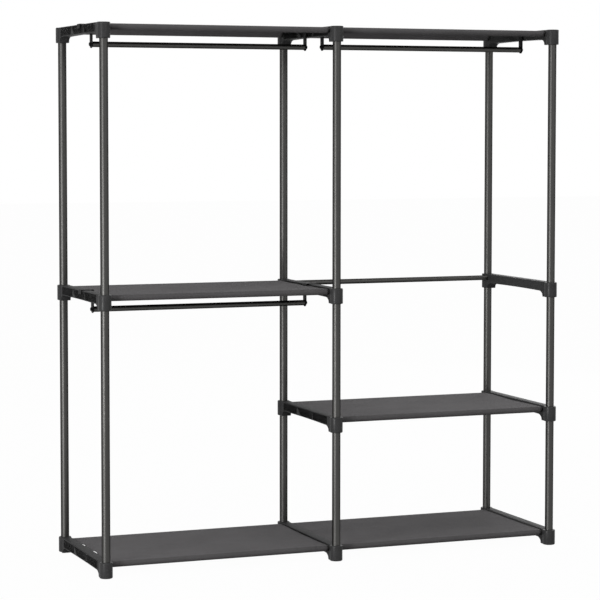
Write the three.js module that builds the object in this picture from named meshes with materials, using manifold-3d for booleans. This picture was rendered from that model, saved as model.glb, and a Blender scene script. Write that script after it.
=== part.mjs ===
// Open frame wardrobe: upright tubes in moulded end frames, two bays wide, with fabric shelves on
// thin rails and hanging rods that turn in hooks. Millimetres, +Z up. The origin lies on the floor,
// in the middle of the footprint; X runs along the bays and Y from the front to the back.

import * as THREE from 'three';
import { mergeVertices } from 'three/addons/utils/BufferGeometryUtils.js';
import Module from 'manifold-3d';

const wasm = await Module();
wasm.setup();

// The layout: distances between post axes, heights of the rail axes above the bottom rails, and how far
// the rails stand inside the line of the posts, from the front and from the back.
const bayWidth = 730.5;
const postSpacing = 443.8;
const lowLevelRise = 393.7;
const midLevelRise = 786.5;
const topLevelRise = 1578.3;
const railInset = 24.5;

// The tubes.
const postRadius = 12.7;
const postWall = 0.9;
const railRadius = 8;
const railWall = 0.8;
const rodRadius = 8.5;
const rodWall = 0.8;

// Clearances: parts that are pushed together, and parts that turn.
const seatGap = 0.3;
const overrun = 5;

// The end frame's bosses, which hold the posts. Heights count from the axis of the rails.
const bossWall = 6.5;
const bossDrop = 35;
const bossCover = 4;
const bossRim = 2.5;
const footRim = 3;
const socketFloor = 3;
const stopThickness = 3;
const pegLength = 24;
const boreRadius = postRadius + seatGap;
const bossRadius = boreRadius + bossWall;
const bossRise = railRadius + bossCover;
const railSpacing = postSpacing - 2 * railInset;
const stopTop = (bossRise - bossDrop + stopThickness) / 2;
const stopBottom = stopTop - stopThickness;

// The end frame's bar, a channel that is open on one side, with a gusset beside each boss.
const barWidth = 30;
const barDrop = 17.5;
const barShoulder = 3;
const barArch = 1.5;
const barWall = 2.4;
const webWall = 2;
const ribWall = 2.4;
const ribCount = 2;
const blockReach = 38;
const gussetReach = 48;
const gussetFootReach = 26;
const gussetKneeReach = 28.5;
const gussetKneeDrop = 26;
const gussetCorner = 3;

// The fabric shelves: a sheet between the rails, with a sewn tunnel round each rail.
const fabric = 0.8;
const seamReach = 25;
const hemWidth = 4;
const shelfStandoff = 5;
const notchCorner = 2;

// The hangers: a saddle over the bar, a lip behind it and a strap down to the rod.
const saddleWidth = 30;
const saddleThickness = 1.8;
const lipDrop = 12;
const strapStandoff = 5.8;
const strapThickness = 3.2;
const strapWidth = 23;
const strapShoulderTop = 4;
const strapShoulderBottom = -8;
const hangerBend = 5;
const hangerSmallBend = 1.5;
const rodDrop = 46;
const leftRodSetback = 203.5;
const rightRodSetback = leftRodSetback - saddleWidth - seatGap;

// The hollow plugs that are pressed into the rod ends, and turn in the hangers.
const plugBore = 1.6;
const neckRadius = 3.2;
const headRadius = 5.5;
const headLength = 4.5;
const headTaper = 1;
const flangeLength = 1.2;
const plugDepth = 14;

// How many flat sides stand for a full circle, and half of those that stand for an arc.
const postSides = 16;
const railSides = 12;
const pegSides = 8;
const footRimSteps = 2;
const cornerSteps = 1;
const curveSteps = 4;

// A closed solid from a geometry, without the seams and empty triangles that three.js leaves.
function solid(geometry) {
  geometry.deleteAttribute('normal');
  geometry.deleteAttribute('uv');
  const merged = mergeVertices(geometry);
  const index = merged.index.array;
  const kept = [];
  for (let corner = 0; corner < index.length; corner += 3) {
    const [a, b, c] = index.slice(corner, corner + 3);
    if (a !== b && b !== c && c !== a) kept.push(a, b, c);
  }
  const vertProperties = new Float32Array(merged.attributes.position.array);
  return new wasm.Manifold(new wasm.Mesh({ numProp: 3, vertProperties, triVerts: new Uint32Array(kept) }));
}

// The geometry of a closed solid.
function shapeOf(body) {
  const mesh = body.getMesh();
  const geometry = new THREE.BufferGeometry();
  geometry.setAttribute('position', new THREE.BufferAttribute(new Float32Array(mesh.vertProperties), 3));
  geometry.setIndex(new THREE.BufferAttribute(new Uint32Array(mesh.triVerts), 1));
  return geometry;
}

// An outline in (y, z), extruded along X from one place to another.
function alongX(outline, from, to, curveSegments = cornerSteps) {
  const geometry = new THREE.ExtrudeGeometry(outline, { depth: to - from, bevelEnabled: false, curveSegments });
  const axes = [new THREE.Vector3(0, 1, 0), new THREE.Vector3(0, 0, 1), new THREE.Vector3(1, 0, 0)];
  geometry.applyMatrix4(new THREE.Matrix4().makeBasis(...axes));
  return geometry.translate(from, 0, 0);
}

// An outline in (x, z), extruded along Y from one place to another.
function alongY(outline, from, to, curveSegments = cornerSteps) {
  const geometry = new THREE.ExtrudeGeometry(outline, { depth: to - from, bevelEnabled: false, curveSegments });
  return geometry.rotateX(Math.PI / 2).translate(0, to, 0);
}

// A profile of [radius, height] turned round the Z axis.
function turned(profile, sides) {
  const points = profile.map(([radius, height]) => new THREE.Vector2(radius, height));
  return new THREE.LatheGeometry(points, sides).rotateX(Math.PI / 2);
}

// An upright cylinder between two heights.
function cylinder(radius, bottom, top, sides) {
  return turned([[0, bottom], [radius, bottom], [radius, top], [0, top]], sides);
}

// A tube along Z from zero to its length.
function tube(radius, wall, length, sides) {
  const section = new THREE.Shape().absarc(0, 0, radius, 0, 2 * Math.PI);
  section.holes.push(new THREE.Path().absarc(0, 0, radius - wall, 0, 2 * Math.PI));
  return new THREE.ExtrudeGeometry(section, { depth: length, bevelEnabled: false, curveSegments: sides / 2 });
}

// A rectangle with round corners.
function roundedRectangle(left, right, bottom, top, corner) {
  const outline = new THREE.Shape();
  outline.absarc(right - corner, bottom + corner, corner, -Math.PI / 2, 0);
  outline.absarc(right - corner, top - corner, corner, 0, Math.PI / 2);
  outline.absarc(left + corner, top - corner, corner, Math.PI / 2, Math.PI);
  outline.absarc(left + corner, bottom + corner, corner, Math.PI, 1.5 * Math.PI);
  return outline;
}

// The bar seen from the side, in (y, z): a shallow arch that runs down into a gusset at each boss.
function barOutline() {
  const under = -barDrop;
  const middle = postSpacing / 2;
  const outline = new THREE.Shape();
  outline.moveTo(0, bossRise);
  outline.lineTo(0, -bossDrop);
  outline.lineTo(gussetFootReach - gussetCorner, -bossDrop);
  outline.quadraticCurveTo(gussetFootReach, -bossDrop, gussetFootReach, gussetCorner - bossDrop);
  outline.lineTo(gussetKneeReach, -gussetKneeDrop);
  outline.quadraticCurveTo((gussetKneeReach + gussetReach) / 2, under, gussetReach, under);
  outline.quadraticCurveTo(middle, under + barArch, postSpacing - gussetReach, under);
  const kneeBack = postSpacing - gussetKneeReach;
  outline.quadraticCurveTo(postSpacing - (gussetKneeReach + gussetReach) / 2, under, kneeBack, -gussetKneeDrop);
  const footBack = postSpacing - gussetFootReach;
  outline.lineTo(footBack, gussetCorner - bossDrop);
  outline.quadraticCurveTo(footBack, -bossDrop, footBack + gussetCorner, -bossDrop);
  outline.lineTo(postSpacing, -bossDrop);
  outline.lineTo(postSpacing, bossRise);
  return outline;
}

// The bar seen from its end, in (x, z): a block with round top edges, down past the gussets.
function barSection() {
  const half = barWidth / 2;
  const section = new THREE.Shape();
  section.moveTo(-half, -bossDrop - overrun);
  section.lineTo(half, -bossDrop - overrun);
  section.absarc(half - barShoulder, bossRise - barShoulder, barShoulder, 0, Math.PI / 2);
  section.absarc(barShoulder - half, bossRise - barShoulder, barShoulder, Math.PI / 2, Math.PI);
  return section;
}

// The pockets that make the bar a ribbed channel. They open toward the side that openSide names.
function barPockets(openSide) {
  const length = (postSpacing - 2 * blockReach - ribCount * ribWall) / (ribCount + 1);
  const bottom = barArch + barWall - barDrop;
  const height = bossRise - barWall - bottom;
  const pockets = [];
  for (let place = 0; place <= ribCount; place += 1) {
    const start = blockReach + place * (length + ribWall);
    const pocket = new THREE.BoxGeometry(barWidth, length, height);
    pocket.translate(openSide * webWall, start + length / 2, bottom + height / 2);
    pockets.push(solid(pocket));
  }
  return pockets;
}

// One boss: a post socket from above, from below or both, with its rim rounder where it is a foot.
function boss(isFoot) {
  const rim = isFoot ? footRim : bossRim;
  const edge = bossRadius - rim;
  const rimSteps = isFoot ? footRimSteps : 1;
  const profile = [[0, -bossDrop], [edge, -bossDrop]];
  for (let step = 1; step <= rimSteps; step += 1) {
    const turn = (step / rimSteps) * (Math.PI / 2);
    profile.push([edge + rim * Math.sin(turn), rim * (1 - Math.cos(turn)) - bossDrop]);
  }
  profile.push([bossRadius, bossRise - bossRim], [bossRadius - bossRim, bossRise], [0, bossRise]);
  return solid(turned(profile, postSides));
}

// The end frame of one column at one level. Its pegs are listed as [bay side, rail place], and stand out
// of the solid ends of the bar, beside the bosses.
function endFrame(openSide, level, pegs) {
  let body = solid(alongY(barSection(), 0, postSpacing));
  body = body.intersect(solid(alongX(barOutline(), -barWidth, barWidth, curveSteps)));
  for (const pocket of barPockets(openSide)) body = body.subtract(pocket);
  const sockets = {
    bottom: [[socketFloor - bossDrop, bossRise + overrun]],
    low: [[-bossDrop - overrun, stopBottom], [stopTop, bossRise + overrun]],
    mid: [[-bossDrop - overrun, stopBottom], [stopTop, bossRise + overrun]],
    top: [[-bossDrop - overrun, bossRise - socketFloor]],
  }[level];
  for (const place of [0, postSpacing]) {
    body = body.add(boss(level === 'bottom').translate([0, place, 0]));
    for (const [from, to] of sockets) {
      const bore = solid(cylinder(boreRadius, from, to, postSides));
      body = body.subtract(bore.translate([0, place, 0]));
    }
  }
  const pegRadius = railRadius - railWall - seatGap;
  for (const [side, place] of pegs) {
    const peg = cylinder(pegRadius, barWidth / 4, barWidth / 2 + pegLength, pegSides).rotateY(side * Math.PI / 2);
    body = body.add(solid(peg).translate([0, place, 0]));
  }
  return shapeOf(body);
}

// One tunnel of the shelf in (y, z): round the rail at zero, open toward +Y, where a straight lower ply
// rises to the seam under the sheet.
function tunnelOutline(radius, seamHeight) {
  const reach = Math.hypot(seamReach, seamHeight);
  const end = Math.atan2(seamHeight, seamReach) - Math.acos(radius / reach) + 2 * Math.PI;
  const outline = new THREE.Shape();
  outline.absarc(0, 0, radius, Math.PI / 2, end);
  outline.lineTo(seamReach, seamHeight);
  return outline;
}

// A shelf cover: the sheet with its two hems, less the inside of the tunnels. The front rail is at zero.
function shelfBlank(from, to) {
  const inner = railRadius + seatGap;
  const outer = inner + fabric;
  const hem = inner - fabric;
  const sheet = new THREE.Shape();
  sheet.moveTo(0, outer);
  sheet.lineTo(0, hem);
  sheet.lineTo(seamReach + hemWidth, hem);
  sheet.lineTo(seamReach + hemWidth, inner);
  sheet.lineTo(railSpacing - seamReach - hemWidth, inner);
  sheet.lineTo(railSpacing - seamReach - hemWidth, hem);
  sheet.lineTo(railSpacing, hem);
  sheet.lineTo(railSpacing, outer);
  let body = solid(alongX(sheet, from, to));
  const middle = bayWidth / 2;
  const backward = (part) => part.translate([-middle, 0, 0]).rotate([0, 0, 180]).translate([middle, railSpacing, 0]);
  const loop = solid(alongX(tunnelOutline(outer, hem), from, to, curveSteps));
  const inside = solid(alongX(tunnelOutline(inner, inner), from - overrun, to + overrun, curveSteps));
  body = body.add(loop).add(backward(loop));
  return body.subtract(inside).subtract(backward(inside));
}

// A shelf cover between the side bars, notched where a hanger's strap passes its edge.
function shelf(strapSetback) {
  const inset = barWidth / 2 + shelfStandoff;
  let body = shelfBlank(inset, bayWidth - inset).translate([0, railInset, 0]);
  if (strapSetback !== undefined) {
    const reach = barWidth / 2 + strapStandoff + strapThickness + seatGap;
    const half = saddleWidth / 2 + seatGap;
    const outline = roundedRectangle(strapSetback - half, strapSetback + half, 0, bossRise, notchCorner);
    body = body.subtract(solid(alongX(outline, 0, reach)));
    body = body.subtract(solid(alongX(outline, bayWidth - reach, bayWidth)));
  }
  return shapeOf(body);
}

// The hanger from the front, in (x, z), with its strap on the +X side of the bar at zero.
function hangerProfile() {
  const half = barWidth / 2;
  const under = bossRise + seatGap;
  const top = under + saddleThickness;
  const strapNear = half + strapStandoff;
  const strapFar = strapNear + strapThickness;
  const lipNear = -half - seatGap;
  const lipFar = lipNear - saddleThickness;
  const strapEnd = -rodDrop - strapWidth;
  const profile = new THREE.Shape();
  profile.moveTo(lipFar, bossRise - lipDrop);
  profile.lineTo(lipNear, bossRise - lipDrop);
  profile.lineTo(lipNear, under);
  profile.absarc(strapNear - hangerSmallBend, under - hangerSmallBend, hangerSmallBend, Math.PI / 2, 0, true);
  profile.lineTo(strapNear, strapEnd);
  profile.lineTo(strapFar, strapEnd);
  profile.absarc(strapFar - hangerBend, top - hangerBend, hangerBend, 0, Math.PI / 2);
  profile.absarc(lipFar + hangerSmallBend, top - hangerSmallBend, hangerSmallBend, Math.PI / 2, Math.PI);
  return profile;
}

// The hanger from the side, in (y, z): the wide saddle narrows to the strap, round at the rod.
function hangerOutline() {
  const wide = saddleWidth / 2;
  const narrow = strapWidth / 2;
  const top = bossRise + saddleThickness + overrun;
  const outline = new THREE.Shape();
  outline.moveTo(wide, strapShoulderTop);
  outline.lineTo(wide, top);
  outline.lineTo(-wide, top);
  outline.lineTo(-wide, strapShoulderTop);
  outline.lineTo(-narrow, strapShoulderBottom);
  outline.absarc(0, -rodDrop, narrow, Math.PI, 2 * Math.PI);
  outline.lineTo(narrow, strapShoulderBottom);
  return outline;
}

// A hanger with the hole that its rod's plug turns in.
function hanger() {
  const profile = solid(alongY(hangerProfile(), -saddleWidth, saddleWidth));
  const outline = solid(alongX(hangerOutline(), -barWidth, barWidth + strapStandoff, curveSteps));
  const hole = cylinder(neckRadius + seatGap, 0, barWidth + strapStandoff, railSides).rotateY(Math.PI / 2);
  return shapeOf(profile.intersect(outline).subtract(solid(hole).translate([0, 0, -rodDrop])));
}

// A rod between its hangers, whose posts stand at zero and at the bay's width. In each end is a hollow
// plug, with a neck that turns in the hanger and a head that holds it there.
function rodWithPlugs() {
  const headStart = barWidth / 2 + strapStandoff - seatGap - headLength;
  const headStop = headStart + headLength;
  const flangeStart = headStop + seatGap + strapThickness + seatGap;
  const plugStop = flangeStart + flangeLength + plugDepth;
  const inside = rodRadius - rodWall;
  const outerEnd = [
    [plugBore, headStart],
    [headRadius - headTaper, headStart],
    [headRadius, headStop],
    [neckRadius, headStop],
    [neckRadius, flangeStart],
    [rodRadius, flangeStart],
  ];
  const innerEnd = [[inside, plugStop], [plugBore, plugStop]];
  const mirrored = (points) => points.map(([radius, x]) => [radius, bayWidth - x]).reverse();
  const profile = [...outerEnd, ...mirrored(outerEnd), ...mirrored(innerEnd), ...innerEnd, outerEnd[0]];
  return shapeOf(solid(turned(profile, railSides).rotateY(Math.PI / 2)));
}

// Materials, one for each kind of piece.
const look = {
  frame: { color: 0x2b2b2e, roughness: 0.62, metalness: 0 },
  tube: { color: 0x4a4b50, roughness: 0.38, metalness: 0.5 },
  fabric: { color: 0x57575c, roughness: 0.95, metalness: 0 },
  hanger: { color: 0x141416, roughness: 0.5, metalness: 0 },
};

const wardrobe = new THREE.Group();

function place(name, geometry, kind, x, y, z, parent = wardrobe) {
  const mesh = new THREE.Mesh(geometry, new THREE.MeshStandardMaterial({ ...look[kind], flatShading: true }));
  mesh.name = name;
  mesh.position.set(x, y, z);
  parent.add(mesh);
  return mesh;
}

// Which levels each column of posts and each bay has. A bay's rails follow its shelves, and the right
// bay also has one bare rail at the back.
const heights = {
  bottom: bossDrop,
  low: bossDrop + lowLevelRise,
  mid: bossDrop + midLevelRise,
  top: bossDrop + topLevelRise,
};
const columns = {
  left: { x: -bayWidth, openSide: -1, levels: ['bottom', 'mid', 'top'] },
  middle: { x: 0, openSide: -1, levels: ['bottom', 'low', 'mid', 'top'] },
  right: { x: bayWidth, openSide: 1, levels: ['bottom', 'low', 'mid', 'top'] },
};
const bays = {
  left: { x: -bayWidth, shelves: ['bottom', 'mid', 'top'], bareRails: [], rods: ['mid', 'top'] },
  right: { x: 0, shelves: ['bottom', 'low', 'top'], bareRails: ['mid'], rods: ['top'] },
};
bays.left.rodSetback = leftRodSetback;
bays.right.rodSetback = rightRodSetback;
const frontY = -postSpacing / 2;
const postPlaces = { front: 0, back: postSpacing };
const railPlaces = { front: railInset, back: postSpacing - railInset };

// The sides of a bay that have a rail at a level.
function railsAt(bay, level) {
  if (bay.shelves.includes(level)) return ['front', 'back'];
  return bay.bareRails.includes(level) ? ['back'] : [];
}

// End frames, with a peg for each rail that starts there.
for (const [name, column] of Object.entries(columns)) {
  for (const level of column.levels) {
    const pegs = [];
    for (const bay of Object.values(bays)) {
      const side = { [bay.x]: 1, [bay.x + bayWidth]: -1 }[column.x];
      if (side === undefined) continue;
      for (const rail of railsAt(bay, level)) pegs.push([side, railPlaces[rail]]);
    }
    const geometry = endFrame(column.openSide, level, pegs);
    place(`end_frame_${name}_${level}`, geometry, 'frame', column.x, frontY, heights[level]);
  }
}

// Post tubes, from the stop or floor of one socket to the next.
for (const [name, column] of Object.entries(columns)) {
  for (let step = 1; step < column.levels.length; step += 1) {
    const [below, above] = column.levels.slice(step - 1, step + 1);
    const seat = below === 'bottom' ? socketFloor - bossDrop : stopTop;
    const stop = above === 'top' ? bossRise - socketFloor : stopBottom;
    const bottom = heights[below] + seat + seatGap;
    const geometry = tube(postRadius, postWall, heights[above] + stop - seatGap - bottom, postSides);
    for (const [post, y] of Object.entries(postPlaces)) {
      place(`post_${name}_${post}_from_${below}`, geometry, 'tube', column.x, frontY + y, bottom);
    }
  }
}

// Rails between the side bars, shelf covers over the rails, and rods in their hangers.
const railStart = barWidth / 2 + seatGap;
const railShape = tube(railRadius, railWall, bayWidth - 2 * railStart, railSides).rotateY(Math.PI / 2);
const rod = rodWithPlugs();
const hangerShape = hanger();
const plainShelf = shelf();
for (const [name, bay] of Object.entries(bays)) {
  const notchedShelf = shelf(bay.rodSetback);
  const rodY = frontY + bay.rodSetback;
  for (const level of Object.keys(heights)) {
    for (const rail of railsAt(bay, level)) {
      const y = frontY + railPlaces[rail];
      place(`rail_${name}_${level}_${rail}`, railShape, 'tube', bay.x + railStart, y, heights[level]);
    }
  }
  for (const level of bay.shelves) {
    const geometry = bay.rods.includes(level) ? notchedShelf : plainShelf;
    place(`shelf_${name}_${level}`, geometry, 'fabric', bay.x, frontY, heights[level]);
  }
  for (const level of bay.rods) {
    const z = heights[level];
    place(`rod_${name}_${level}`, rod, 'tube', bay.x, rodY, z - rodDrop);
    place(`hanger_${name}_${level}_left`, hangerShape, 'hanger', bay.x, rodY, z);
    const far = place(`hanger_${name}_${level}_right`, hangerShape, 'hanger', bay.x + bayWidth, rodY, z);
    far.rotation.z = Math.PI;
  }
}

export default wardrobe;
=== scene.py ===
import math

import bmesh
import bpy
from mathutils import Matrix, Vector, noise


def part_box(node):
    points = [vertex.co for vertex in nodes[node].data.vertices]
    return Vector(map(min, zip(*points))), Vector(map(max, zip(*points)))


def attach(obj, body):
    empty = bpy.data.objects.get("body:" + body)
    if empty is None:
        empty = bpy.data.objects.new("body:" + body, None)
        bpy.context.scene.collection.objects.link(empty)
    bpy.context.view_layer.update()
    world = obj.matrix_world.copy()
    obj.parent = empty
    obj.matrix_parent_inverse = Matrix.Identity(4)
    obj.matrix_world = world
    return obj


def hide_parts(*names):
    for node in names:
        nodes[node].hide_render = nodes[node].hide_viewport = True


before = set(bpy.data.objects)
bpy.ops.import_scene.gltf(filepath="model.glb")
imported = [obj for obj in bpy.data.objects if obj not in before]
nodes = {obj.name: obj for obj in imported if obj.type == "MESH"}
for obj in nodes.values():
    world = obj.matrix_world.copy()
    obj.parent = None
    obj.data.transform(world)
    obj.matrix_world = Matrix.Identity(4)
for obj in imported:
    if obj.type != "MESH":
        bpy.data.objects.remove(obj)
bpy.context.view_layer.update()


# The camera stands in front of the rack and to its left, a little below its top. It looks slightly down, and
# its picture is shifted by a few hundredths, so that the posts stay nearly upright as in the photograph.
camera_place = (-2.599, -6.482, 1.3309)
camera_turn = 21.6104
camera_dip = 3.5777
camera_roll = 0.0316
camera_data = bpy.data.cameras.new("camera")
camera_data.sensor_width = 36
camera_data.lens = 134.482
camera_data.shift_y = -0.06
camera_data.clip_end = 100
camera = bpy.data.objects.new("camera", camera_data)
camera.location = camera_place
turns = ((-camera_turn, "Z"), (90 - camera_dip, "X"), (camera_roll, "Z"))
pan, tilt, roll = (Matrix.Rotation(math.radians(angle), 3, axis) for angle, axis in turns)
camera.rotation_euler = (pan @ tilt @ roll).to_euler()
bpy.context.scene.collection.objects.link(camera)
bpy.context.scene.camera = camera
bpy.context.scene.view_settings.view_transform = "Standard"


# Every finish is a procedural material. Wire lets the outputs of its nodes stand in sums, and Finish adds the
# nodes themselves: their settings first, then the values or links of their inputs.
class Wire:
    def __init__(self, finish, socket):
        self.finish = finish
        self.socket = socket

    def maths(self, operation, *values):
        return self.finish.node("ShaderNodeMath", {"operation": operation}, dict(enumerate(values)))

    def __add__(self, other):
        return self.maths("ADD", self, other)

    def __sub__(self, other):
        return self.maths("SUBTRACT", self, other)

    def __rsub__(self, other):
        return self.maths("SUBTRACT", other, self)

    def __mul__(self, other):
        return self.maths("MULTIPLY", self, other)

    def __abs__(self):
        return self.maths("ABSOLUTE", self)

    def sine(self):
        return self.maths("SINE", self)

    __radd__ = __add__
    __rmul__ = __mul__


class Finish:
    def __init__(self, name, shader="ShaderNodeBsdfPrincipled", store="materials",
                 end="ShaderNodeOutputMaterial", **values):
        self.material = getattr(bpy.data, store).new(name)
        self.material.use_nodes = True
        self.tree = self.material.node_tree
        self.tree.nodes.clear()
        self.result = self.tree.nodes.new(end)
        if shader:
            self.surface = self.tree.nodes.new(shader)
            self.tree.links.new(self.surface.outputs[0], self.result.inputs["Surface"])
            self.set(**values)

    def put(self, socket, value):
        if isinstance(value, Wire):
            self.tree.links.new(value.socket, socket)
        else:
            socket.default_value = value

    def set(self, **values):
        for words, value in values.items():
            self.put(self.surface.inputs[words.replace("_", " ")], value)

    def node(self, kind, settings=None, inputs=None, output=0):
        node = self.tree.nodes.new(kind)
        for words, value in (settings or {}).items():
            setattr(node, words, value)
        for words, value in (inputs or {}).items():
            self.put(node.inputs[words], value)
        return Wire(self, node.outputs[output])

    def place(self, stretch=(1, 1, 1)):
        point = self.node("ShaderNodeTexCoord", output="Object")
        return self.node("ShaderNodeMapping", inputs={"Vector": point, "Scale": stretch})

    def along(self, axis):
        """How far a point lies along an axis: 0 for X, 1 for Y and 2 for Z."""
        return self.node("ShaderNodeSeparateXYZ", inputs={0: self.place()}, output=axis)

    def noise(self, size, detail=3, roughness=0.55, stretch=(1, 1, 1)):
        inputs = {"Vector": self.place(stretch), "Scale": 1 / size, "Detail": detail, "Roughness": roughness}
        return self.node("ShaderNodeTexNoise", inputs=inputs)

    def ramp(self, value, low, high):
        settings = {"interpolation_type": "SMOOTHSTEP"}
        return self.node("ShaderNodeMapRange", settings, {0: value, 1: low, 2: high})

    def tint(self, amount, first, second):
        shades = [shade if isinstance(shade, Wire) else (*shade, 1) for shade in (first, second)]
        inputs = {0: amount, 6: shades[0], 7: shades[1]}
        return self.node("ShaderNodeMix", {"data_type": "RGBA"}, inputs, output=2)

    def bump(self, height, depth):
        return self.node("ShaderNodeBump", inputs={"Height": height, "Distance": depth})


# The studio is a plain pale floor under a pale sky. Both show as white behind the rack, and the floor keeps a
# little of the rack's shadow. Wide soft lights stand to the left, one high and one low, and weaker ones in
# front, behind and overhead.
floor_size = 60
shadow_share = 0.06
floor_glow = 1.04
floor_colour = (0.18, 0.18, 0.18, 1)
sky_strength = 0.75
white = (1, 1, 1, 1)


def seen(finish):
    """One where a camera, glossy or transmission ray meets the studio, and zero for other rays."""
    rays = finish.tree.nodes.new("ShaderNodeLightPath")
    kinds = ("Camera", "Glossy", "Transmission")
    camera_ray, glossy_ray, clear_ray = (Wire(finish, rays.outputs["Is %s Ray" % kind]) for kind in kinds)
    return camera_ray + glossy_ray + clear_ray


floor_finish = Finish("studio_floor", None)
matte = floor_finish.node("ShaderNodeBsdfDiffuse", inputs={"Color": floor_colour})
glow = floor_finish.node("ShaderNodeEmission", inputs={"Color": white, "Strength": floor_glow})
glow_share = seen(floor_finish) * (1 - shadow_share)
floor_mix = floor_finish.node("ShaderNodeMixShader", inputs={0: glow_share, 1: matte, 2: glow})
floor_finish.put(floor_finish.result.inputs["Surface"], floor_mix)
floor_mesh = bmesh.new()
bmesh.ops.create_grid(floor_mesh, x_segments=1, y_segments=1, size=floor_size / 2)
floor_data = bpy.data.meshes.new("floor")
floor_mesh.to_mesh(floor_data)
floor_mesh.free()
floor_data.materials.append(floor_finish.material)
floor = bpy.data.objects.new("floor", floor_data)
bpy.context.scene.collection.objects.link(floor)

sky = Finish("sky", None, store="worlds", end="ShaderNodeOutputWorld")
sky_light = sky.node("ShaderNodeBackground", inputs={"Color": white, "Strength": sky_strength})
sky_white = sky.node("ShaderNodeBackground", inputs={"Color": white, "Strength": 1})
sky_mix = sky.node("ShaderNodeMixShader", inputs={0: seen(sky), 1: sky_light, 2: sky_white})
sky.put(sky.result.inputs["Surface"], sky_mix)
bpy.context.scene.world = sky.material


def soft_light(name, place, aim, width, height, power):
    lamp = bpy.data.lights.new(name, "AREA")
    lamp.shape = "RECTANGLE"
    lamp.size = width
    lamp.size_y = height
    lamp.energy = power
    holder = bpy.data.objects.new(name, lamp)
    holder.location = place
    holder.rotation_euler = (Vector(aim) - Vector(place)).to_track_quat("-Z", "Y").to_euler()
    holder.visible_camera = False
    bpy.context.scene.collection.objects.link(holder)


soft_light("left_light", place=(-4.25, -2.65, 2.1), aim=(0, 0, 2.1), width=1.4, height=4.2, power=84)
soft_light("low_left_light", place=(-4.2, -2.6, 0.3), aim=(0, 0, 0.3), width=1.4, height=0.55, power=105)
soft_light("front_light", place=(2.0, -6.0, 3.4), aim=(0, 0, 0.8), width=3.0, height=3.0, power=48)
soft_light("back_light", place=(3.6, 3.4, 2.0), aim=(0, 0, 1.0), width=3.0, height=3.0, power=50)
soft_light("top_light", place=(0.3, -0.8, 5.0), aim=(0, 0, 0), width=5.0, height=3.6, power=70)


# The posts are thin steel tubes, sprayed in a satin gunmetal paint and pushed into the end frames' bosses.
# The paint has fine metal flake and, close up, a slight orange peel.
millimetre = 0.001
touching = 0.001 * millimetre
post_wall = 0.9 * millimetre
tube_steps = 48
flake_size = 1.1 * millimetre
streak_size = 12 * millimetre
dull_patch_size = 30 * millimetre
peel_size = 3 * millimetre
peel_depth = 0.012 * millimetre
dark_paint = (0.055, 0.0543, 0.0523)
light_paint = (0.066, 0.0653, 0.063)

tube_paint = Finish("gunmetal_tube_paint", Metallic=1, Specular_Tint=(0.15, 0.15, 0.15, 1))
flake = tube_paint.noise(flake_size, detail=1)
streak = tube_paint.noise(streak_size, stretch=(1, 1, 0.12))
paint_shade = tube_paint.ramp(flake * 0.6 + streak * 0.4, 0.25, 0.75)
tube_paint.set(Base_Color=tube_paint.tint(paint_shade, dark_paint, light_paint))
tube_paint.set(Roughness=0.37 + 0.10 * tube_paint.noise(dull_patch_size))
tube_paint.set(Normal=tube_paint.bump(tube_paint.noise(peel_size, detail=2), peel_depth))


def turned(outline, steps=tube_steps, closed=True):
    """An outline of (radius, height) turned round the Z axis."""
    mesh = bmesh.new()
    ring = [mesh.verts.new((radius, 0, height)) for radius, height in outline]
    edges = [mesh.edges.new(pair) for pair in zip(ring, ring[1:])]
    if closed:
        edges.append(mesh.edges.new((ring[-1], ring[0])))
    bmesh.ops.spin(mesh, geom=ring + edges, axis=(0, 0, 1), cent=(0, 0, 0), angle=math.tau, steps=steps,
                   use_merge=True)
    bmesh.ops.remove_doubles(mesh, verts=mesh.verts, dist=touching)
    bmesh.ops.recalc_face_normals(mesh, faces=mesh.faces)
    return mesh


def pipe(radius, wall, length):
    """A tube from zero along Z, with the ends slightly broken."""
    edge = wall / 4
    half = [(radius - wall, edge), (radius - wall + edge, 0), (radius - edge, 0), (radius, edge)]
    return turned(half + [(across, length - height) for across, height in reversed(half)])


def placed(mesh, turn=Matrix.Identity(4), place=(0, 0, 0)):
    bmesh.ops.transform(mesh, matrix=Matrix.Translation(place) @ turn, verts=mesh.verts)
    return mesh


def piece(name, mesh, finish, body, node, sharp=35):
    """Makes an object of a mesh, in the place of a CAD node and with its edges shaded by their angle."""
    for face in mesh.faces:
        face.smooth = True
    data = bpy.data.meshes.new(name)
    mesh.to_mesh(data)
    mesh.free()
    data.set_sharp_from_angle(angle=math.radians(sharp))
    data.materials.append(finish.material)
    made = bpy.data.objects.new(name, data)
    bpy.context.scene.collection.objects.link(made)
    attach(made, body)
    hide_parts(node)
    return made


def named(start):
    return [name for name in nodes if name.startswith(start)]


def middle(node):
    low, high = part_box(node)
    return (low + high) / 2


for node in named("post_"):
    low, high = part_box(node)
    mesh = pipe((high.x - low.x) / 2, post_wall, high.z - low.z)
    placed(mesh, place=(middle(node).x, middle(node).y, low.z))
    piece("painted_" + node, mesh, tube_paint, "rack", node)


# The rails are thinner tubes in the same paint. They slide over the pegs of the end frames and carry the
# shelves; the one at the back of the right bay is bare.
rail_wall = 0.8 * millimetre
rail_low, rail_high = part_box("rail_left_bottom_front")
rail_radius = (rail_high.z - rail_low.z) / 2
along_x = Matrix.Rotation(math.radians(90), 4, "Y")
for node in named("rail_"):
    low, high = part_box(node)
    start = (low.x, middle(node).y, middle(node).z)
    mesh = placed(pipe(rail_radius, rail_wall, high.x - low.x), along_x, start)
    piece("painted_" + node, mesh, tube_paint, "rack", node)


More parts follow.
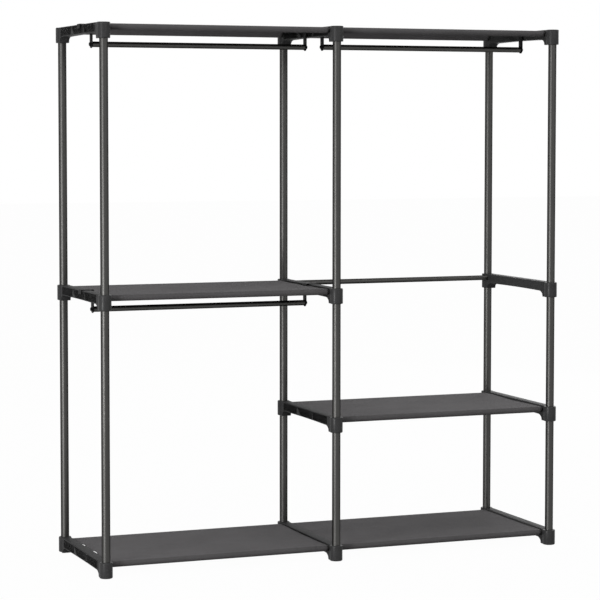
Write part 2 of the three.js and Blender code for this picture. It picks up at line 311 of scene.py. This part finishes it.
# An end frame is one moulding in faintly mottled charcoal plastic with a fine spark grain: two round bosses
# that hold the posts, and between them a ribbed channel bar, open on one side, that runs down into a gusset
# beside each boss. Pegs for the rails stand out of the bar's solid ends. The bosses shine more than the bar.
front_line = middle("post_left_front_from_bottom").y
post_spacing = middle("post_left_back_from_bottom").y - front_line
rail_inset = middle("rail_left_bottom_front").y - front_line
column_places = {name: middle("post_%s_front_from_bottom" % name).x for name in ("left", "middle", "right")}
column_mouths = {"left": -1, "middle": -1, "right": 1}
column_bays = {"left": {1: "left"}, "middle": {-1: "left", 1: "right"}, "right": {-1: "right"}}
level_heights = {node.split("_")[2]: middle(node).z for node in named("rail_") if node.endswith("_back")}
boss_radius = front_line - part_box("end_frame_left_bottom")[0].y
bore_radius = 13 * millimetre
boss_top = 12 * millimetre
boss_bottom = -35 * millimetre
boss_rim = 2.5 * millimetre
foot_rim = 3 * millimetre
socket_floor = 3 * millimetre
stop_top = -10 * millimetre
stop_bottom = -13 * millimetre
peg_radius = 6.9 * millimetre
peg_length = 24 * millimetre
peg_lead = 1 * millimetre
peg_steps = 24
bar_half = 15 * millimetre
bar_top = 12 * millimetre
bar_bottom = -17.5 * millimetre
bar_arch = 1.5 * millimetre
bar_start = 12.75 * millimetre
bar_shoulder = 2.2 * millimetre
bar_edge = 0.5 * millimetre
pocket_top = 9.6 * millimetre
pocket_bottom = -13.6 * millimetre
pocket_count = 3
web = 2 * millimetre
rib = 2.4 * millimetre
block_reach = 38 * millimetre
gusset_lead = 24 * millimetre
gusset_foot = 26 * millimetre
gusset_knee = 28.5 * millimetre
gusset_reach = 48 * millimetre
gusset_steps = 6
arch_steps = 5
knee_height = -26 * millimetre
square_turn = 1
slight_turn = 0.7

mottle_size = 30 * millimetre
fleck_size = 3 * millimetre
frame_patch_size = 15 * millimetre
grain_size = 0.9 * millimetre
grain_depth = 0.1 * millimetre
polish_reach = 13 * millimetre
polish_blend = 2 * millimetre
polish_weight = 0.3
dark_plastic = (0.0255, 0.0255, 0.0259)
light_plastic = (0.0375, 0.0375, 0.0379)

frame_plastic = Finish("charcoal_moulded_plastic", Specular_IOR_Level=0.02, Coat_IOR=1.35,
                       Coat_Roughness=0.28)
mottle = frame_plastic.noise(mottle_size, detail=4) * 0.4 + frame_plastic.noise(fleck_size, detail=2) * 0.6
plastic_shade = frame_plastic.ramp(mottle, 0.35, 0.65)
off_middle = abs(frame_plastic.along(1))
polish_start = post_spacing / 2 - polish_reach
polish = frame_plastic.ramp(off_middle, polish_start, polish_start + polish_blend)
frame_plastic.set(Base_Color=frame_plastic.tint(plastic_shade, dark_plastic, light_plastic))
frame_plastic.set(Coat_Weight=polish_weight * polish)
frame_plastic.set(Roughness=0.42 + 0.14 * frame_plastic.noise(frame_patch_size))
frame_plastic.set(Normal=frame_plastic.bump(frame_plastic.noise(grain_size, detail=2), grain_depth))


def arc(centre, radius, start, stop, steps=5):
    """Points along an arc, whose angles in degrees turn from the first axis to the second."""
    angles = [math.radians(start + (stop - start) * step / steps) for step in range(steps + 1)]
    return [(centre[0] + radius * math.cos(a), centre[1] + radius * math.sin(a)) for a in angles]


def boss(level):
    """A boss round a post at zero, with its socket above, below or both."""
    rim = foot_rim if level == "bottom" else boss_rim
    outside = arc((boss_radius - rim, boss_bottom + rim), rim, -90, 0)
    outside += arc((boss_radius - boss_rim, boss_top - boss_rim), boss_rim, 0, 90)
    upper_floor = boss_bottom + socket_floor if level == "bottom" else stop_top
    lower_floor = boss_top - socket_floor if level == "top" else stop_bottom
    upper = [(bore_radius, boss_top), (bore_radius, upper_floor), (0, upper_floor)]
    lower = [(0, lower_floor), (bore_radius, lower_floor), (bore_radius, boss_bottom)]
    if level == "top":
        upper = [(0, boss_top)]
    if level == "bottom":
        lower = [(0, boss_bottom)]
    return turned(lower + outside + upper, closed=False)


def underside(along):
    """The height of the bar's underside at a distance from the post's axis, up to the middle."""
    if along <= gusset_foot:
        return boss_bottom
    if along <= gusset_knee:
        share = (along - gusset_foot) / (gusset_knee - gusset_foot)
        return boss_bottom + (knee_height - boss_bottom) * share
    if along <= gusset_reach:
        share = (along - gusset_knee) / (gusset_reach - gusset_knee)
        return knee_height + (bar_bottom - knee_height) * (1 - (1 - share) ** 2)
    share = (along - gusset_reach) / (post_spacing / 2 - gusset_reach)
    return bar_bottom + bar_arch * (1 - (1 - share) ** 2)


def moved_on(mesh, faces, step):
    """Faces drawn out of a mesh, or sunk into it, by a step."""
    drawn = bmesh.ops.extrude_face_region(mesh, geom=faces)["geom"]
    bmesh.ops.translate(mesh, verts=[g for g in drawn if isinstance(g, bmesh.types.BMVert)], vec=step)


def bevelled(mesh, edges, width, segments):
    bmesh.ops.bevel(mesh, geom=edges, offset=width, offset_type="OFFSET", segments=segments, profile=0.5,
                    affect="EDGES", clamp_overlap=True, material=-1)


def spread(start, stop, steps):
    """Places from start to stop, both included, in equal steps."""
    return [start + (stop - start) * step / steps for step in range(steps + 1)]


def bar():
    """The channel bar between two bosses, open toward +X, made as its front half and mirrored."""
    half_way = post_spacing / 2
    pocket = (post_spacing - 2 * block_reach - (pocket_count - 1) * rib) / pocket_count
    rib_near, rib_far = block_reach + pocket, block_reach + pocket + rib
    places = [bar_start, gusset_lead, gusset_foot, block_reach, rib_near, rib_far]
    places += spread(gusset_knee, gusset_reach, gusset_steps)
    places = sorted(places + spread(gusset_reach, half_way, arch_steps)[1:])
    mesh = bmesh.new()
    bmesh.ops.create_grid(mesh, x_segments=len(places) - 1, y_segments=3, size=1)
    for vertex in mesh.verts:
        along = places[round((vertex.co.x + 1) / 2 * (len(places) - 1))]
        row = round((vertex.co.y + 1) / 2 * 3)
        vertex.co = (-bar_half, along, (underside(along), pocket_bottom, pocket_top, bar_top)[row])
    moved_on(mesh, mesh.faces[:], (2 * bar_half, 0, 0))
    hollow = []
    for face in mesh.faces:
        centre = face.calc_center_median()
        between_ribs = block_reach < centre.y and not rib_near < centre.y < rib_far
        if centre.x > bar_half - touching and pocket_bottom < centre.z < pocket_top and between_ribs:
            hollow.append(face)
    moved_on(mesh, hollow, (web - 2 * bar_half, 0, 0))
    at_middle = [face for face in mesh.faces if all(abs(v.co.y - half_way) < touching for v in face.verts)]
    bmesh.ops.delete(mesh, geom=at_middle, context="FACES")
    whole = mesh.verts[:] + mesh.edges[:] + mesh.faces[:]
    turn = Matrix.Translation((0, -half_way, 0))
    bmesh.ops.mirror(mesh, geom=whole, matrix=turn, merge_dist=touching, axis="Y")
    bmesh.ops.remove_doubles(mesh, verts=mesh.verts, dist=touching)
    bmesh.ops.recalc_face_normals(mesh, faces=mesh.faces)
    shoulders = [edge for edge in mesh.edges if edge.calc_face_angle(0) > square_turn and all(
        v.co.z > bar_top - touching and abs(v.co.x) > bar_half - touching for v in edge.verts)]
    bevelled(mesh, shoulders, bar_shoulder, 4)
    corners = [edge for edge in mesh.edges if edge.calc_face_angle(0) > slight_turn]
    bevelled(mesh, corners, bar_edge, 2)
    return mesh


def peg(side):
    """A peg for a rail, from inside the bar's end out to one side."""
    stop = bar_half + peg_length
    outline = [(0, bar_half / 2), (peg_radius, bar_half / 2), (peg_radius, stop - peg_lead),
               (peg_radius - peg_lead, stop), (0, stop)]
    turn = Matrix.Rotation(math.radians(90 * side), 4, "Y")
    return placed(turned(outline, peg_steps, closed=False), turn)


def joined(meshes):
    """One mesh made of several separate ones."""
    whole = bmesh.new()
    for mesh in meshes:
        data = bpy.data.meshes.new("part")
        mesh.to_mesh(data)
        mesh.free()
        whole.from_mesh(data)
        bpy.data.meshes.remove(data)
    return whole


for node in named("end_frame_"):
    column, level = node.split("_")[2:]
    parts = [bar()]
    if column_mouths[column] < 0:
        bmesh.ops.scale(parts[0], vec=(-1, 1, 1), verts=parts[0].verts)
        bmesh.ops.recalc_face_normals(parts[0], faces=parts[0].faces)
    for along in (0, post_spacing):
        parts.append(placed(boss(level), place=(0, along, 0)))
    for side, bay in column_bays[column].items():
        for end, along in (("front", rail_inset), ("back", post_spacing - rail_inset)):
            if "rail_%s_%s_%s" % (bay, level, end) in nodes:
                parts.append(placed(peg(side), place=(0, along, 0)))
    mesh = placed(joined(parts), place=(column_places[column], front_line, level_heights[level]))
    piece("moulded_" + node, mesh, frame_plastic, "rack", node)


# A shelf is one sheet of dark grey non-woven fabric, spot-bonded all over, with its front and back edges
# folded round the rails and sewn to its underside. It is pulled tight, so it sags only a little. Where it
# lies round a rail, a darker copy of its colour is painted on. Part of this is the dark tube showing through
# it, and part is painted shade for the front and back bands, which get less light.
bay_places = {"left": column_places["left"], "right": column_places["middle"]}
bay_width = column_places["right"] - column_places["middle"]
rail_spacing = post_spacing - 2 * rail_inset
fabric = 0.8 * millimetre
tunnel_radius = rail_radius + 0.3 * millimetre + fabric / 2
tunnel_steps = 26
seam_reach = 25 * millimetre
hem_width = 4 * millimetre
ply_steps = 4
sheet_steps = 56
width_steps = 100
edge_inset = 19 * millimetre
edge_wander = 1.2 * millimetre
edge_waves = 14
edge_seeds = (8, 3)
strap_clear = 24.6 * millimetre
strap_half = 15.6 * millimetre
strap_slope = 0.5
sag = 1.2 * millimetre
slack = 0.6 * millimetre
free_rise = 3
ripples = ((5, 9, 1.1 * millimetre), (17, 23, 0.35 * millimetre))
seed_step = 7.3
rod_places = {"shelf" + node[3:]: middle(node).y - front_line for node in named("rod_")}
dip_depth = 4.8 * millimetre
edge_dips = {"shelf_left_bottom": ((307 * millimetre, 24 * millimetre), (185 * millimetre, 30 * millimetre))}

spots_per_metre = 900
fibre_size = 0.7 * millimetre
cloud_size = 110 * millimetre
weave_depth = 0.12 * millimetre
band_shade_blend = 6 * millimetre
stitch_length = 3.2 * millimetre
thread_core = 0.3 * millimetre
thread_edge = 0.8 * millimetre
stitch_strength = 0.6
dark_fabric = (0.080, 0.077, 0.079)
light_fabric = (0.104, 0.100, 0.103)
# Darker copies of the fabric colours for the bands round the rails: painted shade, partly the dark tube
# showing through.
dark_band_painted_shade = (0.058, 0.056, 0.057)
light_band_painted_shade = (0.076, 0.073, 0.075)
thread_colour = (0.018, 0.018, 0.018)

shelf_fabric = Finish("non_woven_fabric", Roughness=0.9, Specular_IOR_Level=0.1)
spots = shelf_fabric.node("ShaderNodeTexVoronoi", {"feature": "DISTANCE_TO_EDGE"},
                          {"Vector": shelf_fabric.place(), "Scale": spots_per_metre, "Randomness": 0.35})
fibres = shelf_fabric.noise(fibre_size, detail=4, stretch=(1, 0.35, 1))
cloud = shelf_fabric.noise(cloud_size, detail=3)
fabric_shade = shelf_fabric.ramp(fibres * 0.6 + cloud * 0.4, 0.25, 0.75)
open_shade = shelf_fabric.tint(fabric_shade, dark_fabric, light_fabric)
band_painted_shade = shelf_fabric.tint(fabric_shade, dark_band_painted_shade, light_band_painted_shade)
off_centre = abs(shelf_fabric.along(1))
# The painted shade covers the sheet where it wraps round the rails, beyond the rails' spacing.
band_painted_shade_mask = shelf_fabric.ramp(off_centre, rail_spacing / 2, rail_spacing / 2 + band_shade_blend)
off_seam = abs(off_centre - (rail_spacing / 2 - seam_reach))
thread = 1 - shelf_fabric.ramp(off_seam, thread_core, thread_edge)
stitch_wave = (shelf_fabric.along(0) * (math.tau / stitch_length)).sine()
stitch = thread * shelf_fabric.ramp(stitch_wave, -0.7, -0.3)
cloth_tone_and_painted_shade = shelf_fabric.tint(band_painted_shade_mask, open_shade, band_painted_shade)
shelf_fabric.set(Base_Color=shelf_fabric.tint(stitch_strength * stitch, cloth_tone_and_painted_shade, thread_colour))
relief = shelf_fabric.ramp(spots, 0, 0.25) + 0.6 * fibres + 2 * stitch - 3 * thread
shelf_fabric.set(Normal=shelf_fabric.bump(relief, weave_depth))


def shelf_path():
    """The middle of the sheet in (y, z), from the front seam round both rails to the back seam."""
    seam_height = tunnel_radius - fabric
    reach = math.hypot(seam_reach, seam_height)
    leave = math.degrees(math.atan2(seam_height, seam_reach) - math.acos(tunnel_radius / reach))
    loop = arc((0, 0), tunnel_radius, leave, -270, tunnel_steps)
    hem = [(seam_reach + hem_width * share, seam_height) for share in (1, 0.5, 0)]
    ply_places = spread(seam_reach, loop[0][0], ply_steps)
    ply_heights = spread(seam_height, loop[0][1], ply_steps)
    front = hem + list(zip(ply_places, ply_heights))[1:-1] + loop
    sheet = [(place, tunnel_radius) for place in spread(0, rail_spacing, sheet_steps)[1:-1]]
    return front + sheet + [(rail_spacing - y, z) for y, z in reversed(front)]


def edge_start(node, along, is_left):
    """How far the shelf's end edge stands from the axes of the posts, at a place along it."""
    wander = noise.noise(Vector((along * edge_waves, len(node), edge_seeds[is_left])))
    start = edge_inset + edge_wander * wander
    if node in rod_places:
        beside = abs(along - rod_places[node]) - strap_half
        start = max(start, strap_clear - max(0, beside) * strap_slope)
    if is_left:
        for centre, half in edge_dips.get(node, ()):
            start = max(start, edge_inset + dip_depth * (1 - ((along - centre) / half) ** 2))
    return start


def shelf_mesh(node, path, seed):
    """The sheet along its path and across the bay, with its sag and ripples."""
    mesh = bmesh.new()
    bmesh.ops.create_grid(mesh, x_segments=width_steps, y_segments=len(path) - 1, size=1)
    for vertex in mesh.verts:
        y, z = path[round((vertex.co.y + 1) / 2 * (len(path) - 1))]
        start = edge_start(node, y + rail_inset, True)
        stop = bay_width - edge_start(node, y + rail_inset, False)
        x = start + (stop - start) * (vertex.co.x + 1) / 2
        span = math.sin(math.pi * min(1, max(0, y / rail_spacing)))
        ripple = sum(height * noise.noise(Vector((x * x_waves, y * y_waves, seed)))
                     for x_waves, y_waves, height in ripples)
        free = min(1, span * free_rise) if z > 0 else 0
        vertex.co = (x, y + rail_inset, z - free * (sag * span + slack - ripple))
    bmesh.ops.recalc_face_normals(mesh, faces=mesh.faces)
    return mesh


path = shelf_path()
for count, node in enumerate(named("shelf_")):
    bay, level = node.split("_")[1:]
    mesh = shelf_mesh(node, path, count * seed_step)
    placed(mesh, place=(bay_places[bay], front_line, level_heights[level]))
    sheet = piece("sewn_" + node, mesh, shelf_fabric, "rack", node, sharp=60)
    skin = sheet.modifiers.new("thickness", "SOLIDIFY")
    skin.thickness = fabric
    skin.offset = 0
    rails = ["painted_rail_%s_%s_%s" % (bay, level, end) for end in ("front", "back")]


# The hangers are flat hooks in black plastic. A wide saddle with a short lip lies over the bar of an end
# frame, and a narrower, thicker strap hangs down inside, with a round end and a hole for the rod's plug.
saddle_half = 15 * millimetre
saddle_thickness = 1.8 * millimetre
saddle_bottom = 12.3 * millimetre
lip_bottom = 0 * millimetre
lip_near = -15.3 * millimetre
strap_near = 20.8 * millimetre
strap_thickness = 3.2 * millimetre
strap_end = 11.5 * millimetre
shoulder_top = 4 * millimetre
shoulder_bottom = -8 * millimetre
rod_drop = 46 * millimetre
neck_hole = 3.5 * millimetre
small_bend = 1.5 * millimetre
large_bend = 5 * millimetre
lip_bend = 0.5 * millimetre
bend_steps = 5
lip_steps = 3
hanger_edge = 0.45 * millimetre
hole_steps = 32
hanger_cloud_size = 20 * millimetre
hanger_patch_size = 10 * millimetre
dark_hanger = (0.0035, 0.0035, 0.0038)
light_hanger = (0.0055, 0.0055, 0.0058)

hanger_plastic = Finish("black_moulded_plastic", Specular_IOR_Level=0.06)
hanger_shade = hanger_plastic.noise(hanger_cloud_size)
hanger_plastic.set(Base_Color=hanger_plastic.tint(hanger_shade, dark_hanger, light_hanger))
hanger_plastic.set(Roughness=0.44 + 0.12 * hanger_plastic.noise(hanger_patch_size))
hanger_plastic.set(Normal=hanger_plastic.bump(hanger_plastic.noise(grain_size, detail=2), grain_depth))


def hanger_lines():
    """The near and the far side of the hanger in (x, z), point for point, from the strap up to the lip."""
    top = saddle_bottom + saddle_thickness
    strap_far = strap_near + strap_thickness
    lip_far = lip_near - saddle_thickness
    near_line = [(strap_near, shoulder_bottom), (strap_near, shoulder_top)]
    near_line += arc((strap_near - small_bend, saddle_bottom - small_bend), small_bend, 0, 90, bend_steps)
    near_line += arc((lip_near + lip_bend, saddle_bottom - lip_bend), lip_bend, 90, 180, lip_steps)
    near_line += [(lip_near, lip_bottom)]
    far_line = [(strap_far, shoulder_bottom), (strap_far, shoulder_top)]
    far_line += arc((strap_far - large_bend, top - large_bend), large_bend, 0, 90, bend_steps)
    far_line += arc((lip_far + small_bend, top - small_bend), small_bend, 90, 180, lip_steps)
    far_line += [(lip_far, lip_bottom)]
    return near_line, far_line


def hanger():
    """A hanger on the bar at zero, with its strap on the +X side: a flat pattern, thickened and then bent."""
    mesh = bmesh.new()
    bmesh.ops.create_circle(mesh, segments=hole_steps, radius=neck_hole)
    rim = bmesh.ops.create_circle(mesh, segments=hole_steps, radius=strap_end)["verts"]
    for vertex in rim:
        if vertex.co.y > 0:
            vertex.co *= strap_end / max(abs(vertex.co.x), vertex.co.y)
    bmesh.ops.bridge_loops(mesh, edges=mesh.edges[:])
    row = [edge for edge in mesh.edges if all(v.co.y > strap_end - touching for v in edge.verts)]
    lines = hanger_lines()
    for step in range(len(lines[0])):
        drawn = bmesh.ops.extrude_edge_only(mesh, edges=row)["geom"]
        row = [g for g in drawn if isinstance(g, bmesh.types.BMEdge)]
        widen = saddle_half / strap_end if step == 1 else 1
        for vertex in (g for g in drawn if isinstance(g, bmesh.types.BMVert)):
            vertex.co = (vertex.co.x * widen, step + 1, 0)
    moved_on(mesh, mesh.faces[:], (0, 0, 1))
    for vertex in mesh.verts:
        across, up, layer = vertex.co
        step = round(up) - 1
        strap_point = (strap_near + strap_thickness * layer, up - rod_drop)
        point = lines[round(layer)][step] if step >= 0 else strap_point
        vertex.co = (point[0], across, point[1])
    bmesh.ops.remove_doubles(mesh, verts=mesh.verts, dist=touching)
    bmesh.ops.recalc_face_normals(mesh, faces=mesh.faces)
    corners = [edge for edge in mesh.edges if edge.calc_face_angle(0) > square_turn]
    bevelled(mesh, corners, hanger_edge, 2)
    return mesh


for node in named("hanger_"):
    bay, level, end = node.split("_")[1:]
    turn = Matrix.Rotation(math.pi if end == "right" else 0, 4, "Z")
    column_place = bay_places[bay] + (bay_width if end == "right" else 0)
    mesh = placed(hanger(), turn, (column_place, middle(node).y, level_heights[level]))
    piece("moulded_" + node, mesh, hanger_plastic, "rack", node)


# The hanging rods are thin tubes in the same paint as the posts. A hollow plug of the hangers' black plastic
# is pressed into each end, and its neck turns in the hanger, held by a round head outside it.
rod_radius = 8.5 * millimetre
rod_wall = 0.8 * millimetre
plug_bore = 1.6 * millimetre
plug_neck = 3.2 * millimetre
plug_head = 5.5 * millimetre
plug_head_length = 4.5 * millimetre
plug_head_rim = 1 * millimetre
plug_rim_steps = 4
plug_play = 0.6 * millimetre
plug_flange = 1.2 * millimetre
plug_edge = 0.4 * millimetre
plug_depth = 14 * millimetre
flange_start = plug_head_length + strap_thickness + plug_play
flange_end = flange_start + plug_flange


def plug():
    """A plug along Z: its head from zero, then its neck, its flange and the part inside the rod."""
    head = arc((plug_head - plug_head_rim, plug_head_rim), plug_head_rim, -90, 0, plug_rim_steps)
    head += [(plug_head, plug_head_length)]
    neck = [(plug_neck, plug_head_length), (plug_neck, flange_start)]
    flange = [(rod_radius - plug_edge, flange_start), (rod_radius, flange_start + plug_edge),
              (rod_radius, flange_end)]
    core_radius = rod_radius - rod_wall
    core_end = flange_end + plug_depth
    core = [(core_radius, flange_end), (core_radius, core_end), (plug_bore, core_end)]
    return turned([(plug_bore, 0)] + head + neck + flange + core)


for node in named("rod_"):
    low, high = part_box(node)
    length = high.x - low.x
    start = (low.x, middle(node).y, middle(node).z)
    tube = placed(pipe(rod_radius, rod_wall, length - 2 * flange_end), place=(0, 0, flange_end))
    piece("painted_" + node, placed(tube, along_x, start), tube_paint, node + "_body", node)
    far_plug = placed(plug(), Matrix.Rotation(math.pi, 4, "X"), (0, 0, length))
    plugs = placed(joined([plug(), far_plug]), along_x, start)
    piece("moulded_plugs_" + node, plugs, hanger_plastic, node + "_body", node)
